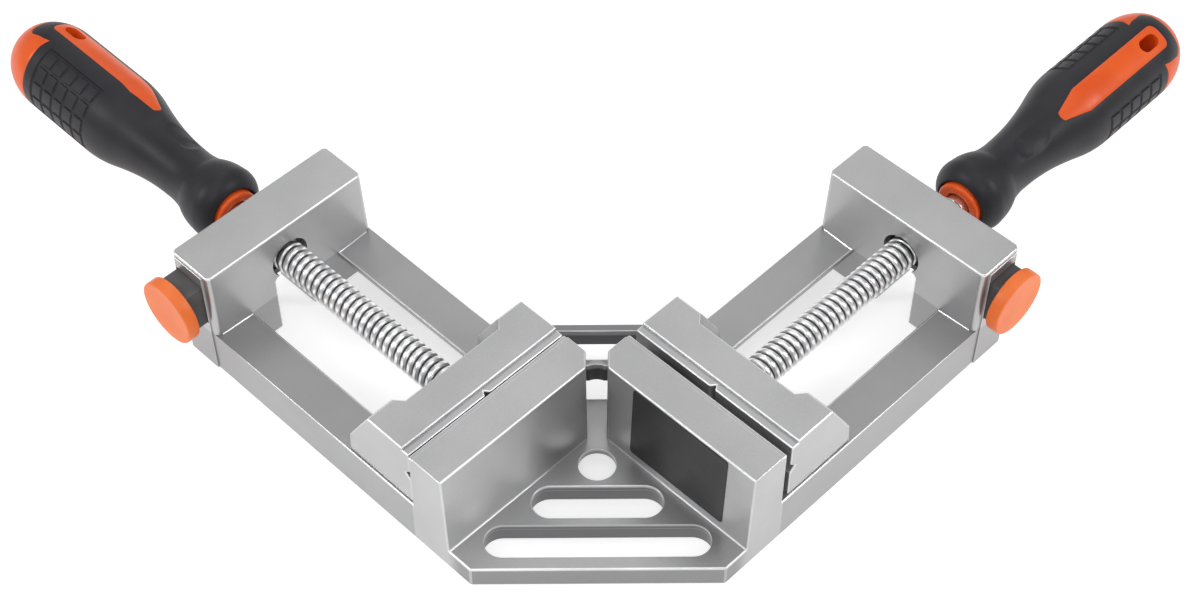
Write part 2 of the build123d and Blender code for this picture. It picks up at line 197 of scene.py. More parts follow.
def dress(finish, colour, roughness=None, relief=None):
    shader = finish.node_tree.nodes["Principled BSDF"]
    for key, value in (("Base Color", colour), ("Roughness", roughness), ("Normal", relief)):
        if value:
            colour.feed(shader.inputs[key], value)
    return finish


def settle(bm, name, place, sharp):
    # puts a finished bmesh in the row frame and makes the object; sharp is in degrees
    bmesh.ops.transform(bm, matrix=place, verts=bm.verts)
    bmesh.ops.recalc_face_normals(bm, faces=bm.faces)
    mesh = bpy.data.meshes.new(name)
    bm.to_mesh(mesh)
    bm.free()
    mesh.shade_smooth()
    mesh.set_sharp_from_angle(angle=radians(sharp))
    piece = bpy.data.objects.new(name, mesh)
    bpy.context.scene.collection.objects.link(piece)
    return piece


def coat(piece, finish):
    piece.data.materials.clear()
    piece.data.materials.append(finishes[finish])


def dressPiece(piece, body, finish, slot, *stoodFor):
    coat(piece, finish)
    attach(piece, body)
    if stoodFor:
        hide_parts(*stoodFor)


def joinRings(bm, rings, closed=True):
    # faces between neighbouring rings of points; a ring of one point is a pole
    for low, high in zip(rings, rings[1:]):
        steps = max(len(low), len(high))
        for i in range(steps if closed else steps - 1):
            j = (i + 1) % steps
            corners = (low[i % len(low)], low[j % len(low)], high[j % len(high)], high[i % len(high)])
            bm.faces.new(list(dict.fromkeys(corners)))


def lathe(bm, profile, steps, place=Matrix()):
    # turns (radius, height) points round z; zero radius makes a pole, a third number a ring of so many sides
    rings = []
    for point in profile:
        radius, height = point[:2]
        if not radius:
            rings.append([bm.verts.new(place @ Vector((0, 0, height)))])
            continue
        ring = []
        for i in range(steps):
            angle = 2 * pi * i / steps
            reach = radius
            if len(point) > 2:
                sector = 2 * pi / point[2]
                reach = radius / cos((angle % sector) - sector / 2)
            ring.append(bm.verts.new(place @ Vector((reach * cos(angle), reach * sin(angle), height))))
        rings.append(ring)
    joinRings(bm, rings)


def cutAcross(bm, at, way, **how):
    # cuts by a plane, and gives the edges and the points of the cut
    geometry = [*bm.verts, *bm.edges, *bm.faces]
    cut = bmesh.ops.bisect_plane(bm, geom=geometry, dist=hair, plane_co=at, plane_no=way, **how)["geom_cut"]
    kinds = bmesh.types.BMEdge, bmesh.types.BMVert
    return ([item for item in cut if isinstance(item, kind)] for kind in kinds)


def applyChange(piece, change):
    with bpy.context.temp_override(object=piece, active_object=piece, selected_objects=[piece]):
        bpy.ops.object.modifier_apply(modifier=change.name)


def alongArm(u):
    # local z becomes u, on the screw's axis
    return Matrix(((0, 0, 1, u), (1, 0, 0, screwLine["v"]), (0, 1, 0, screwLine["z"]), (0, 0, 0, 1)))


# castings: the CAD mesh with its edges rounded as a mould leaves them, in millimetres and degrees
casting = {
    "round": {"frame": 0.55, "jaw": 0.5, "block": 0.35, "keeper": 0.3},
    "weld": {"frame": 0.03, "jaw": 0.03, "block": 0.1, "keeper": 0.12},
    "segments": 3, "share": 0.38, "corner": 0.42,  # at most this share of a gap, or of a corner, is rounded
    "bendFrom": 24.0, "curve": 40.0, "crisp": 38.0, "flat": 0.8,
    "parallel": 0.85, "overlap": 0.1, "apart": 0.02, "flatsPerMetre": 20000, "snap": 0.25, "speck": 0.002,
    "plateTop": 9.0, "railTop": 19.2, "bridgeFace": 98.9, "near": 0.1, "plateJoint": 20.0, "railJoint": 10.0,
    "bore": 7.0, "cellMiddle": 7.5,
    # which faces get the painted highlight: fillets above this height with a tilt between these, and less on
    # roundings that face aside
    "paintedHighlightAbove": 48.45, "paintedHighlightTilt": (0.15, 0.97), "paintedHighlightAside": 0.3,
}

# below the plate's thin skin its hole opens towards the corner, as two circles and what lies between
holePocket = {"near": (37.0, 6.9), "far": (33.2, 7.4), "top": 6.2, "bottom": -1.0, "steps": 16}


def edgeRoom(edges):
    # distance from each edge to the nearest parallel edge on the same flat
    flats = {}
    for edge in edges:
        for face in edge.link_faces:
            n = face.normal
            level = round(n.dot(edge.verts[0].co) * casting["flatsPerMetre"])
            flats.setdefault((round(n.x, 2), round(n.y, 2), round(n.z, 2), level), []).append(edge)
    room = {}
    for flat in flats.values():
        ends = ((edge, *(v.co for v in edge.verts)) for edge in flat)
        lines = [(edge, (a + b) / 2, (b - a).normalized(), (b - a).length) for edge, a, b in ends]
        for edge, middle, along, length in lines:
            for other, centre, way, reach in lines:
                lean = abs(along.dot(way))
                if other is edge or lean < casting["parallel"]:
                    continue
                offset = centre - middle
                shift = offset.dot(along)
                if abs(shift) > 0.5 * (length + reach * lean) - casting["overlap"] * min(length, reach):
                    continue
                gap = (offset - along * shift).length
                if gap > casting["apart"] * milli:
                    room[edge] = min(room.get(edge, 1.0), gap)
    return room


def cornerRoom(edges, room):
    # at a corner that turns inward, the two offsets may not eat up either edge
    for face in {f for edge in edges for f in edge.link_faces}:
        for loop in face.loops:
            before, after = loop.link_loop_prev.edge, loop.edge
            if not loop.is_convex or before not in edges or after not in edges:
                continue
            half = (pi - loop.calc_angle()) / 2
            most = casting["corner"] * min(before.calc_length(), after.calc_length()) / max(tan(half), 1e-3)
            for edge in (before, after):
                room[edge] = min(room.get(edge, 1.0), most)


def inBore(edge):
    # edges by the screws stay sharp
    middle = (edge.verts[0].co + edge.verts[1].co) / milli / 2
    return any(hypot(middle[i] + screwLine["v"], middle.z - screwLine["z"]) < casting["bore"] for i in (0, 1))


def liesAt(edge, axis, place):
    return all(abs(v.co[axis] / milli - casting[place]) <= casting["near"] for v in edge.verts)


def inJoint(edge):
    # the long joints between plate and fixed jaws, and those between rails and bridges
    length = edge.calc_length() / milli
    if liesAt(edge, 2, "plateTop"):
        return length > casting["plateJoint"]
    onFace = liesAt(edge, 0, "bridgeFace") or liesAt(edge, 1, "bridgeFace")
    return onFace and liesAt(edge, 2, "railTop") and length >= casting["railJoint"]


def carve(bm, tool):
    # takes a closed tool out of a mesh
    pieces = []
    for part, name in ((bm, "carved"), (tool, "tool")):
        bmesh.ops.recalc_face_normals(part, faces=part.faces)
        mesh = bpy.data.meshes.new(name)
        part.to_mesh(mesh)
        pieces.append(bpy.data.objects.new(name, mesh))
        bpy.context.scene.collection.objects.link(pieces[-1])
    change = pieces[0].modifiers.new("pocket", "BOOLEAN")
    change.operation = "DIFFERENCE"
    change.solver = "EXACT"
    change.object = pieces[1]
    bpy.context.view_layer.update()
    applyChange(pieces[0], change)
    bm.clear()
    bm.from_mesh(pieces[0].data)
    tool.free()
    for piece in pieces:
        mesh = piece.data
        bpy.data.objects.remove(piece)
        bpy.data.meshes.remove(mesh)


def pocketTool():
    p = holePocket
    (nearAt, nearRadius), (farAt, farRadius) = p["near"], p["far"]
    wide = acos((nearRadius - farRadius) / (nearAt - farAt))
    outline = []
    for at, radius, first, last in ((farAt, farRadius, -wide, wide), (nearAt, nearRadius, wide, 2 * pi - wide)):
        for i in range(p["steps"] + 1):
            turn = pi / 4 + first + (last - first) * i / p["steps"]
            outline.append((radius * cos(turn) - at / sqrt(2), radius * sin(turn) - at / sqrt(2)))
    tool = bmesh.new()
    levels = [
        [tool.verts.new((x * milli, y * milli, z * milli)) for x, y in outline] for z in (p["bottom"], p["top"])
    ]
    for level in levels:
        tool.faces.new(level)
    joinRings(tool, levels)
    return tool


def evenOut(bm, width):
    # an edge and the next one round a curve get the same rounding
    pairs = []
    for vert in bm.verts:
        met = [e for e in vert.link_edges if e in width]
        for i, one in enumerate(met):
            ahead = vert.co - one.other_vert(vert).co
            for other in met[i + 1:]:
                if ahead.angle(other.other_vert(vert).co - vert.co) < radians(casting["curve"]):
                    pairs.append((one, other))
    moved = True
    while moved:
        moved = False
        for one, other in pairs:
            least = min(width[one], width[other])
            if max(width[one], width[other]) > least:
                width[one] = width[other] = least
                moved = True


def keepFlats(mesh):
    # corner normals by face area, split at crisp edges, so that flats look flat up to their rounding
    bm = bmesh.new()
    bm.from_mesh(mesh)
    for edge in bm.edges:
        edge.smooth = abs(edge.calc_face_angle_signed(pi)) < radians(casting["crisp"])
    normals = {}
    for vert in bm.verts:
        left = set(vert.link_faces)
        while left:
            fan, ahead = set(), [left.pop()]
            while ahead:
                face = ahead.pop()
                fan.add(face)
                for edge in face.edges:
                    if edge.smooth and vert in edge.verts:
                        ahead += [f for f in edge.link_faces if f in left]
                        left -= set(edge.link_faces)
            total = sum((f.normal * f.calc_area() for f in fan), Vector())
            for face in fan:
                normals[face.index, vert.index] = total.normalized()
    corners = [normals[face.index, loop.vert.index] for face in bm.faces for loop in face.loops]
    bm.to_mesh(mesh)
    bm.free()
    mesh.normals_split_custom_set(corners)


def cutFlats(bm, cuts):
    # planes through the holes, so that a merged flat needs no bridge to its holes
    for at, way in cuts:
        known = set(bm.verts)
        edges, verts = cutAcross(bm, at, way)
        for edge in edges:
            edge.seam = True
        merged = {}
        for vert in verts:
            for edge in vert.link_edges:
                other = edge.other_vert(vert)
                if vert not in known and other in known and edge.calc_length() < casting["snap"] * milli:
                    merged[vert] = other
        bmesh.ops.weld_verts(bm, targetmap=merged)


def markHighlights(mesh):
    # marks the roundings for a painted highlight in the casting's finish: those that face up fully, and the
    # others less
    paintedHighlight = mesh.attributes.new("paintedHighlight", "FLOAT", "FACE")
    leastUp, mostUp = casting["paintedHighlightTilt"]
    for face in mesh.polygons:
        up = face.normal.z
        fillet = face.center.z > casting["paintedHighlightAbove"] * milli and leastUp < up < mostUp
        if face.material_index or fillet:
            paintedHighlight.data[face.index].value = 1.0 if up > leastUp else casting["paintedHighlightAside"]
        face.material_index = 0


def roundedCopy(name, node, kind, cuts=(), pocket=None):
    bm = bmesh.new()
    bm.from_mesh(frame["nodes"][node].data)
    bmesh.ops.remove_doubles(bm, verts=bm.verts, dist=casting["weld"][kind] * milli)
    if pocket:
        carve(bm, pocket)
    cutFlats(bm, cuts)
    flat = radians(casting["flat"])
    bmesh.ops.dissolve_limit(bm, angle_limit=flat, verts=bm.verts, edges=bm.edges, delimit={"SEAM"})
    bmesh.ops.dissolve_degenerate(bm, dist=casting["speck"] * milli, edges=bm.edges)
    weight = bm.edges.layers.float.new("bevel_weight_edge")
    least = radians(casting["bendFrom"])
    bends = [e for e in bm.edges if e.calc_face_angle_signed(0.0) > least and not inBore(e)]
    bends += [e for e in bm.edges if e.calc_face_angle_signed(0.0) < -least and inJoint(e)]
    room = {edge: casting["share"] * gap for edge, gap in edgeRoom(bends).items()}
    cornerRoom(set(bends), room)
    rounding = casting["round"][kind] * milli
    width = {edge: min(1.0, room.get(edge, 1.0) / rounding) for edge in bends}
    evenOut(bm, width)
    for edge in bends:
        edge[weight] = width[edge]
    piece = settle(bm, name, Matrix(), sharp=30)
    bevel = piece.modifiers.new("rounding", "BEVEL")
    bevel.limit_method = "WEIGHT"
    bevel.width = rounding
    bevel.segments = casting["segments"]
    bevel.use_clamp_overlap = False
    bevel.miter_outer = "MITER_ARC"
    # the roundings get their own index, so that they can be given the painted highlight
    bevel.material = 1  # tells the roundings from the flats, for markHighlights
    for _ in range(2):
        piece.data.materials.append(None)
    applyChange(piece, bevel)
    markHighlights(piece.data)
    keepFlats(piece.data)
    return piece


castFinish = {
    "constants": {"Metallic": 0.8, "Specular IOR Level": 0.5, "Coat Weight": 0.4, "Coat Roughness": 0.2},
    "dark": (0.40, 0.40, 0.405), "light": (0.52, 0.52, 0.525),
    # colours on this line: a darker tone for the rails with painted shade in the inner corner and on the
    # plate's walls, deeper painted shade on the bars and the openings' walls, and a painted highlight on the
    # roundings
    "darkTone": (0.17, 0.17, 0.175), "deepShade": (0.045, 0.045, 0.05), "paintedHighlight": (0.93, 0.93, 0.935),
    "cloud": 26.0, "grain": 2600.0, "peel": 420.0, "patches": (0.3, 0.7), "flecks": (0.55, 0.75),
    "roughness": (0.3, 0.42), "relief": (0.22, 0.00025),
    # these two lines: how strongly the darker rails, the painted shade and the painted highlight are laid on;
    # the bars, lying in shade, get less highlight
    "darkeningRails": 0.42, "darkeningCorner": 0.45, "darkeningWalls": 0.8, "deepShadeWalls": 0.55,
    "highlight": (0.6, 0.3), "highlightPatches": (0.4, 0.6), "shadedBars": 0.6,
}

# where places on the frame begin and end, in millimetres along z, along an arm, or towards the plate's front
castZones = {
    "railTop": (19.4, 19.8), "rails": (0.1, 0.6), "corner": (18.0, 30.0), "front": (100.0, 107.0),
    "plateSide": (-84.5, -83.5), "plateSkin": (7.8, 8.3), "slots": (56.0, 60.0), "openings": (30.0, 32.0),
    "bars": (-8.5, -7.5), "barReach": (40.0, 50.0), "barTop": (20.5, 21.5), "barWall": (16.5, 18.0),
}


def past(value, zone, power=1):
    low, high = castZones[zone]
    return value.rise((low * milli) ** power, (high * milli) ** power)


def silverCasting():
    f = castFinish
    finish, place = newFinish("silverCasting", f["constants"])
    cloud = place.noise(f["cloud"], 3.0)
    grain = place.noise(f["grain"], 1.0, 0.6)
    peel = place.noise(f["peel"], 2.0)
    mottle = cloud.rise(*f["patches"]) * 0.5 + grain.rise(*f["flecks"]) * 0.5
    colour = mottle.blend(f["dark"], f["light"])
    # the rails and bars are painted darker than the jaws, and painted shade darkens the inner corner and the
    # plate's walls
    x, y, z = place.axes()
    forward = 0.0 - x - y
    squared = x * x + y * y
    low = 1.0 - past(z, "railTop")
    under = 1.0 - past(z, "plateSkin")
    corner = 1.0 - past(squared.root(), "corner")
    front = past(forward, "front")
    plate = past(x.least(y), "plateSide")
    walls = under * front.most(past(forward, "slots") * plate)
    darkening = low * (f["darkeningRails"] * past(x.most(y), "rails") + f["darkeningCorner"] * corner)
    colour = darkening.most(f["darkeningWalls"] * walls).blend(colour, f["darkTone"])
    # painted shade, darker still, on the walls of the plate's openings and of the bars, and the bars' edges get
    # less of the painted highlight
    behind = past(x + y, "bars") * (1.0 - past(z, "barTop")) * (1.0 - past(squared, "barReach", 2))
    bars = behind * (1.0 - past(z, "barWall"))
    openingShade = under * plate * past(forward, "openings") * (1.0 - front)
    colour = bars.most(f["deepShadeWalls"] * openingShade).blend(colour, f["deepShade"])
    # painted highlight on the roundings, in patches, and less by the bars
    paintedHighlight = place.node("ShaderNodeAttribute", {"attribute_name": "paintedHighlight"}, output=2)
    least, more = f["highlight"]
    bright = paintedHighlight * (least + more * cloud.rise(*f["highlightPatches"])) * (1.0 - f["shadedBars"] * behind)
    colour = bright.blend(colour, f["paintedHighlight"])
    smooth, rough = f["roughness"]
    roughness = smooth + (rough - smooth) * (0.6 * grain + 0.4 * cloud)
    relief = (peel * 0.7 + grain * 0.3).bump(*f["relief"])
    return dress(finish, colour, roughness, relief)


screwFinish = {
    "dark": (0.78, 0.78, 0.79), "light": (0.95, 0.95, 0.95), "oil": (0.13, 0.13, 0.135),
    "smear": 900.0, "patch": 120.0, "patches": (0.3, 0.75), "roughness": (0.24, 0.12), "relief": (0.05, 0.0001),
    "groove": (4.8, 5.7), "threadEnd": (124.2, 124.4),  # the oil lies below these radii, and short of the shank
}


def brightScrew():
    f = screwFinish
    finish, place = newFinish("brightScrew", {"Metallic": 1.0})
    smear = place.noise(f["smear"], 3.0)
    patch = place.noise(f["patch"], 2.0)
    # the thread's grooves hold a dark film of oil; each screw lies equally far from one axis of the row
    x, y, z = place.axes()
    across, up = x.least(y) + milli * screwLine["v"], z - milli * screwLine["z"]
    radius = (across * across + up * up).root()
    clean = radius.rise(*(at * milli for at in f["groove"]))
    shank = x.most(y).rise(*(at * milli for at in f["threadEnd"]))
    colour = patch.rise(*f["patches"]).blend(f["dark"], f["light"])
    colour = ((1.0 - clean) * (1.0 - shank)).blend(colour, f["oil"])
    smooth, more = f["roughness"]
    roughness, relief = smooth + more * smear, smear.bump(*f["relief"])
    return dress(finish, colour, roughness, relief)


steelFinish = {
    "brush": (700.0, 3.0, 0.7), "patches": (0.3, 0.7), "shade": 0.85, "smear": 0.15, "relief": (0.1, 0.0001),
}


def plainSteel(name, tone, rough):
    f = steelFinish
    finish, place = newFinish(name, {"Metallic": 1.0})
    brushed = place.noise(*f["brush"])
    colour = brushed.rise(*f["patches"]).blend([f["shade"] * t for t in tone], tone)
    roughness, relief = rough + f["smear"] * brushed, brushed.bump(*f["relief"])
    return dress(finish, colour, roughness, relief)


plasticFinish = {"cloud": (60.0, 3.0), "patches": (0.3, 0.7), "smear": 0.12, "relief": (0.15, 0.0003)}


def mouldedPlastic(name, dark, light, rough, peel=600.0, gloss=0.35):
    f = plasticFinish
    finish, place = newFinish(name, {"Specular IOR Level": gloss})
    cloud = place.noise(*f["cloud"])
    skin = place.noise(peel, 2.0)
    colour = cloud.rise(*f["patches"]).blend(dark, light)
    roughness, relief = rough + f["smear"] * skin, (0.6 * skin + 0.4 * cloud).bump(*f["relief"])
    return dress(finish, colour, roughness, relief)


finishes = {
    "cast": silverCasting(),
    "screw": brightScrew(),
    "plate": plainSteel("platedSteel", (0.62, 0.62, 0.64), 0.3),
    "pin": plainSteel("pinSteel", (0.5, 0.5, 0.52), 0.28),
    "washer": plainSteel("washerSteel", (0.56, 0.56, 0.58), 0.25),
    "spring": plainSteel("springSteel", (0.4, 0.4, 0.43), 0.3),
    "orange": mouldedPlastic("orangePlastic", (0.7, 0.08, 0.006), (0.78, 0.105, 0.01), 0.3),
    "button": mouldedPlastic("orangeButton", (0.8, 0.155, 0.025), (0.86, 0.2, 0.045), 0.36),
    "black": mouldedPlastic("blackGrip", (0.0155, 0.0145, 0.0185), (0.023, 0.0218, 0.0275), 0.4, 1400.0, 0.3),
    "block": mouldedPlastic("darkBlock", (0.065, 0.062, 0.064), (0.102, 0.097, 0.097), 0.42, 900.0),
    "label": mouldedPlastic("blankLabel", (0.015, 0.015, 0.0165), (0.02, 0.02, 0.0215), 0.3, 300.0, 0.3),
}
print("finishes made")

# planes for cutFlats: the diagonal, and through the screws' bores and the cells by them
screwAt, cellAt = -screwLine["v"] * milli, -casting["cellMiddle"] * milli
acrossHoles = [
    ((0, 0, 0), (1, -1, 0)),
    ((screwAt, 0, 0), (1, 0, 0)), ((0, cellAt, 0), (0, 1, 0)),
    ((0, screwAt, 0), (0, 1, 0)), ((cellAt, 0, 0), (1, 0, 0)),
]
body = roundedCopy("frameBody", "frame_casting", "frame", cuts=acrossHoles, pocket=pocketTool())
dressPiece(body, "frame", "cast", "silver_casting", "frame_casting")
for side in arms:
    for name, node, kind, rider, finish, slot in (
        ("Jaw", "_moving_jaw", "jaw", "_jaw", "cast", "silver_casting"),
        ("Block", "_release_block", "block", "_release", "block", "dark_plastic"),
        ("KeeperPlate", "_jaw_keeper_plate", "keeper", "_jaw", "plate", "plated_steel"),
    ):
        piece = roundedCopy(side + name, side + node, kind)
        dressPiece(piece, side + rider, finish, slot, side + node)
    for node, finish in (("spindle_retaining_pins", "pin"), ("thrust_washer", "washer")):
        coat(frame["nodes"][side + "_" + node], finish)
print("castings rounded")

# keeper screws, with a hexagon socket in each head; the crown is the head's rounding, inward and up
keeperScrew = {
    "u": 9.5, "spacing": 23.0, "radius": 2.0, "head": 3.5, "headHeight": 2.4, "seat": 13.6, "top": 28.6,
    "socket": 1.5, "socketDepth": 1.3, "socketLip": 0.05, "crown": ((0.6, 0.0), (0.15, 0.25), (0.0, 0.7)),
    "rim": 0.15, "tip": 0.5, "steps": 36,
}


def keeperScrews(side):
    k = keeperScrew
    bm = bmesh.new()
    low = k["seat"] - k["headHeight"]
    floor = low + k["socketDepth"]
    profile = [
        (0, floor), (k["socket"], floor, 6), (k["socket"], low + k["socketLip"], 6),
        *((k["head"] - inward, low + rise) for inward, rise in k["crown"]),
        (k["head"], k["seat"] - k["rim"]), (k["head"] - k["rim"], k["seat"]), (k["radius"], k["seat"]),
        (k["radius"], k["top"] - k["tip"]), (k["radius"] - k["tip"], k["top"]), (0, k["top"]),
    ]
    for offset in (-k["spacing"] / 2, k["spacing"] / 2):
        lathe(bm, profile, k["steps"], Matrix.Translation((k["u"], screwLine["v"] + offset, 0)))
    piece = settle(bm, side + "KeeperScrews", armPlace(side, arms[side]["gap"]), sharp=30)
    dressPiece(piece, side + "_jaw", "pin", "screw_steel", side + "_jaw_keeper_screws")


for side in arms:
    keeperScrews(side)

# screws with a real trapezoidal thread, right-handed on both sides; its profile is (along, radius) for a pitch
thread = {
    "pitch": 3.0, "steps": 40, "start": 18.0, "end": 124.3, "crest": 6.0,
    "profile": [
        (0.0, 4.75), (0.2, 4.8), (0.36, 5.15), (0.52, 5.6), (0.7, 5.83), (0.95, 5.95), (1.3, 6.0), (1.7, 6.0),
        (2.05, 5.95), (2.3, 5.83), (2.48, 5.6), (2.64, 5.15), (2.8, 4.8),
    ],
    "leadIn": 5.2, "leadOut": 1.1, "undercut": 0.3, "weld": 0.004, "overlap": (0.5, 0.6), "turned": 48,
    "journal": 4.0, "journalStart": 5.0, "journalChamfer": 0.6, "groove": (2.9, 9.0, 12.2),
    "shank": 4.7, "shankPlay": 0.02, "shankEnd": 130.7, "shankChamfer": 0.3,
    "tang": 4.0, "tangEnd": 172.7, "tangChamfer": 0.5,
}


def threadReach(along):
    # chamfers at both ends of the thread
    fromStart = thread["leadIn"] + (along - thread["start"])
    toEnd = thread["shank"] + thread["leadOut"] * (thread["end"] - along)
    return max(thread["shank"] - thread["undercut"], min(thread["crest"], fromStart, toEnd))


def threadBody(bm, hand):
    t = thread
    turns = int((t["end"] - t["start"]) / t["pitch"]) + 3
    first = t["start"] - t["pitch"]
    strips = []
    for i in range(turns * t["steps"] + 1):
        angle = hand * 2 * pi * i / t["steps"]
        strip = []
        for shift, radius in t["profile"] + [(t["pitch"], t["profile"][0][1])]:
            along = first + t["pitch"] * i / t["steps"] + shift
            reach = min(radius, threadReach(along))
            point = (along, screwLine["v"] + reach * cos(angle), screwLine["z"] + reach * sin(angle))
            strip.append(bm.verts.new(point))
        strips.append(strip)
    joinRings(bm, strips, closed=False)
    bmesh.ops.remove_doubles(bm, verts=bm.verts, dist=t["weld"])
    for at, way in ((t["start"], (-1, 0, 0)), (t["end"], (1, 0, 0))):
        rim, _ = cutAcross(bm, (at, 0, 0), way, clear_outer=True)
        bmesh.ops.contextual_create(bm, geom=rim)


def makeScrew(side):
    t = thread
    bm = bmesh.new()
    threadBody(bm, arms[side]["hand"])
    journal, start, chamfer = t["journal"], t["journalStart"], t["journalChamfer"]
    root, grooveStart, grooveEnd = t["groove"]
    inFront, behind = t["start"] + t["overlap"][0], t["end"] - t["overlap"][1]
    front = [
        (0, start), (journal - chamfer, start), (journal, start + chamfer), (journal, grooveStart),
        (root, grooveStart), (root, grooveEnd), (journal, grooveEnd), (journal, inFront), (0, inFront),
    ]
    shank, cut, bevel = t["shank"] - t["shankPlay"], t["shankChamfer"], t["tangChamfer"]
    back = [
        (0, behind), (shank, behind), (shank, t["shankEnd"] - cut), (t["shank"] - cut, t["shankEnd"]),
        (t["tang"], t["shankEnd"]), (t["tang"], t["tangEnd"] - bevel), (t["tang"] - bevel, t["tangEnd"]),
        (0, t["tangEnd"]),
    ]
    for profile in (front, back):
        lathe(bm, profile, t["turned"], alongArm(0))
    piece = settle(bm, side + "Screw", armPlace(side, arms[side]["gap"]), sharp=40)
    dressPiece(piece, side + "_screw", "screw", "chromed_screw", side + "_spindle")


for side in arms:
    makeScrew(side)
print("screws cut")

# release buttons and springs
release = {
    "middle": 109.4, "face": 85.5, "radius": 12.2, "thickness": 4.7, "round": 0.55, "steps": 96,
    "dish": ((1.6, 0.0), (2.2, 0.06)),
    "spring": 4.6, "wire": 0.6, "turns": 5, "around": 40, "through": 10,
    "springStart": 22.0, "blockReach": 12.0, "engaged": 6.7,
}


def releasePlace(side, v):
    # local z becomes v
    place = Matrix(((1, 0, 0, release["middle"]), (0, 0, 1, v), (0, 1, 0, screwLine["z"]), (0, 0, 0, 1)))
    return armPlace(side) @ place


def makeButton(side):
    r, c = release, release["round"]
    edge, top = r["radius"] - c, r["thickness"]
    bm = bmesh.new()
    profile = [(0, 0), (edge, 0)]
    profile += [(edge + c * sin(a), c - c * cos(a)) for a in (pi / 6, pi / 3, pi / 2)]
    profile += [(edge + c * cos(a), top - c + c * sin(a)) for a in (0, pi / 6, pi / 3, pi / 2)]
    profile += [(r["radius"] - inward, top - sunk) for inward, sunk in r["dish"]]
    profile.append((0, top - r["dish"][-1][1]))
    lathe(bm, profile, r["steps"])
    piece = settle(bm, side + "Button", releasePlace(side, r["face"] + arms[side]["exposure"]), sharp=35)
    dressPiece(piece, side + "_release", "button", "orange_plastic", side + "_release_button")


def makeSpring(side):
    r, arm = release, arms[side]
    bm = bmesh.new()
    end = screwLine["v"] - r["blockReach"] + arm["exposure"] - r["engaged"]
    length = end - r["springStart"] - 2 * r["wire"]
    count = r["turns"] * r["around"]
    rings = []
    for i in range(count + 1):
        turn = 2 * pi * i / r["around"]
        height = length * i / count
        ring = []
        for j in range(r["through"]):
            a = 2 * pi * j / r["through"]
            reach = r["spring"] + r["wire"] * cos(a)
            ring.append(bm.verts.new((reach * cos(turn), reach * sin(turn), height + r["wire"] * sin(a))))
        rings.append(ring)
    joinRings(bm, rings)
    bm.faces.new(rings[0])
    bm.faces.new(rings[-1])
    piece = settle(bm, side + "Spring", releasePlace(side, r["springStart"] + r["wire"]), sharp=40)
    dressPiece(piece, side + "_release", "spring", "spring_steel", side + "_release_spring")
    keep = 1 - arm["press"] / (end - r["springStart"])
    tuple(arm["pressAxis"])
    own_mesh(piece)


for side in arms:
    makeButton(side)
    makeSpring(side)
print("releases made")

